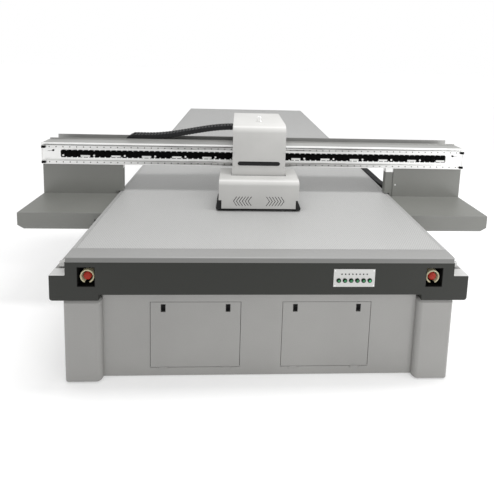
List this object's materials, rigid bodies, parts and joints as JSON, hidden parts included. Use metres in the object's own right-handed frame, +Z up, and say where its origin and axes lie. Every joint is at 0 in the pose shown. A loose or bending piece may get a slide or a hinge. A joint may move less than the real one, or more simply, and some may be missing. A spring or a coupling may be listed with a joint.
{
  "type": "flatbed uv printer",
  "caption": "Large flatbed UV printer: vacuum table on a cabinet, moving gantry with side shelves, print carriage with lifting head unit, doors, latches, stop and push buttons.",
  "frame": {"origin": "on the floor under the middle of the machine's plan box", "axes": "+X to the operator's right, +Y from the operator's side to the rear along the table, +Z up"},
  "size_m": [3.89, 4.524, 1.608],
  "materials": {
    "body_paint": "satin powder coat, warm mid grey",
    "band_paint": "textured powder coat, charcoal",
    "shelf_paint": "textured powder coat, dark grey",
    "white_paint": "satin powder coat, off-white",
    "frame_paint": "plain frame paint",
    "black_paint": "black anodised",
    "table_metal": "fine ground",
    "bed_metal": "fine perforated",
    "beam_metal": "brushed anodised",
    "plate_metal": "satin",
    "bare_steel": "ground",
    "cast_metal": "machined and painted",
    "hook_chrome": "polished",
    "magnet_black": "epoxy",
    "black_plastic": "moulded",
    "chain_plastic": "moulded",
    "bottle_plastic": "translucent",
    "red_plastic": "moulded",
    "green_plastic": "moulded"
  },
  "bodies": {
    "base": {"frame_side_beams": "body_paint", "frame_crossmembers": "frame_paint", "levelling_feet": "bare_steel", "front_band": "band_paint", "leg_covers": "body_paint", "front_panel": "body_paint", "side_panels": "body_paint", "rear_panel": "body_paint", "power_inlet": "black_plastic", "electronics_box": "frame_paint", "ink_bottles": "bottle_plastic", "vacuum_blower": "cast_metal", "table_border": "table_metal", "vacuum_bed": "bed_metal", "vacuum_plenum": "frame_paint", "y_rails": "bare_steel", "y_magnet_tracks": "black_plastic", "y_chain_channel": "shelf_paint", "y_chain_lower": "chain_plastic", "stop_stations": "black_plastic", "control_plate": "plate_metal"},
    "gantry": {"gantry_uprights": "shelf_paint", "beam": "beam_metal", "x_rails": "bare_steel", "x_rail_stops": "black_plastic", "x_magnet_track": "magnet_black", "cable_trough": "shelf_paint", "side_shelves": "shelf_paint", "y_bearing_blocks": "bare_steel", "y_forcers": "cast_metal", "x_chain_lower": "chain_plastic", "y_chain_upper": "chain_plastic"},
    "carriage": {"carriage_plate": "beam_metal", "x_bearing_blocks": "bare_steel", "x_forcer": "cast_metal", "upper_cover": "white_paint", "lifting_hook": "hook_chrome", "lift_guide": "bare_steel", "x_chain_upper": "chain_plastic"},
    "head_unit": {"lower_cover": "white_paint", "head_plate": "black_paint", "print_heads": "black_plastic", "uv_lamps": "black_paint", "lift_slide": "beam_metal"},
    "x_fold": {"x_chain_fold": "chain_plastic"},
    "y_fold": {"y_chain_fold": "chain_plastic"},
    "stop_left": {"stop_button_left": "red_plastic"},
    "door_left_leaf": {"door_left": "body_paint"},
    "latch_left_a_paddle": {"latch_left_a": "black_plastic"},
    "latch_left_b_paddle": {"latch_left_b": "black_plastic"},
    "stop_right": {"stop_button_right": "red_plastic"},
    "door_right_leaf": {"door_right": "body_paint"},
    "latch_right_a_paddle": {"latch_right_a": "black_plastic"},
    "latch_right_b_paddle": {"latch_right_b": "black_plastic"},
    "button_1": {"push_button_1": "green_plastic"},
    "button_2": {"push_button_2": "green_plastic"},
    "button_3": {"push_button_3": "green_plastic"},
    "button_4": {"push_button_4": "green_plastic"},
    "button_5": {"push_button_5": "green_plastic"},
    "button_6": {"push_button_6": "green_plastic"}
  },
  "joints": [
    {"name": "gantry_slide", "type": "slide", "parent": "base", "child": "gantry", "axis": [0, 1, 0], "range_m": [-0.4, 3.2], "deforming": ["y_chain_upper"]},
    {"name": "carriage_slide", "type": "slide", "parent": "gantry", "child": "carriage", "axis": [1, 0, 0], "range_m": [-1.37, 1.45], "deforming": ["x_chain_upper"]},
    {"name": "head_lift", "type": "slide", "parent": "carriage", "child": "head_unit", "axis": [0, 0, 1], "range_m": [-0.008, 0.09]},
    {"name": "x_fold_slide", "type": "slide", "parent": "gantry", "child": "x_fold", "axis": [1, 0, 0], "range_m": [-0.685, 0.725], "deforming": ["x_chain_lower"]},
    {"name": "y_fold_slide", "type": "slide", "parent": "base", "child": "y_fold", "axis": [0, 1, 0], "range_m": [-0.2, 1.6], "deforming": ["y_chain_lower"]},
    {"name": "stop_press_left", "type": "slide", "parent": "base", "child": "stop_left", "axis": [0, 1, 0], "range_m": [0, 0.006]},
    {"name": "door_hinge_left", "type": "hinge", "parent": "base", "child": "door_left_leaf", "pos_m": [-0.435, -2.213, 0.0635], "axis": [1, 0, 0], "range_deg": [0, 90]},
    {"name": "latch_slide_left_a", "type": "slide", "parent": "door_left_leaf", "child": "latch_left_a_paddle", "axis": [0, 0, -1], "range_m": [0, 0.008], "stiffness_N_per_m": 400, "springref_m": -0.002},
    {"name": "latch_slide_left_b", "type": "slide", "parent": "door_left_leaf", "child": "latch_left_b_paddle", "axis": [0, 0, -1], "range_m": [0, 0.008], "stiffness_N_per_m": 400, "springref_m": -0.002},
    {"name": "stop_press_right", "type": "slide", "parent": "base", "child": "stop_right", "axis": [0, 1, 0], "range_m": [0, 0.006]},
    {"name": "door_hinge_right", "type": "hinge", "parent": "base", "child": "door_right_leaf", "pos_m": [0.435, -2.213, 0.0635], "axis": [1, 0, 0], "range_deg": [0, 90]},
    {"name": "latch_slide_right_a", "type": "slide", "parent": "door_right_leaf", "child": "latch_right_a_paddle", "axis": [0, 0, -1], "range_m": [0, 0.008], "stiffness_N_per_m": 400, "springref_m": -0.002},
    {"name": "latch_slide_right_b", "type": "slide", "parent": "door_right_leaf", "child": "latch_right_b_paddle", "axis": [0, 0, -1], "range_m": [0, 0.008], "stiffness_N_per_m": 400, "springref_m": -0.002},
    {"name": "button_press_1", "type": "slide", "parent": "base", "child": "button_1", "axis": [0, 1, 0], "range_m": [0, 0.003], "stiffness_N_per_m": 400},
    {"name": "button_press_2", "type": "slide", "parent": "base", "child": "button_2", "axis": [0, 1, 0], "range_m": [0, 0.003], "stiffness_N_per_m": 400},
    {"name": "button_press_3", "type": "slide", "parent": "base", "child": "button_3", "axis": [0, 1, 0], "range_m": [0, 0.003], "stiffness_N_per_m": 400},
    {"name": "button_press_4", "type": "slide", "parent": "base", "child": "button_4", "axis": [0, 1, 0], "range_m": [0, 0.003], "stiffness_N_per_m": 400},
    {"name": "button_press_5", "type": "slide", "parent": "base", "child": "button_5", "axis": [0, 1, 0], "range_m": [0, 0.003], "stiffness_N_per_m": 400},
    {"name": "button_press_6", "type": "slide", "parent": "base", "child": "button_6", "axis": [0, 1, 0], "range_m": [0, 0.003], "stiffness_N_per_m": 400}
  ],
  "couplings": [
    {"joint": "x_fold_slide", "follows": "carriage_slide", "ratio": 0.5},
    {"joint": "y_fold_slide", "follows": "gantry_slide", "ratio": 0.5}
  ]
}
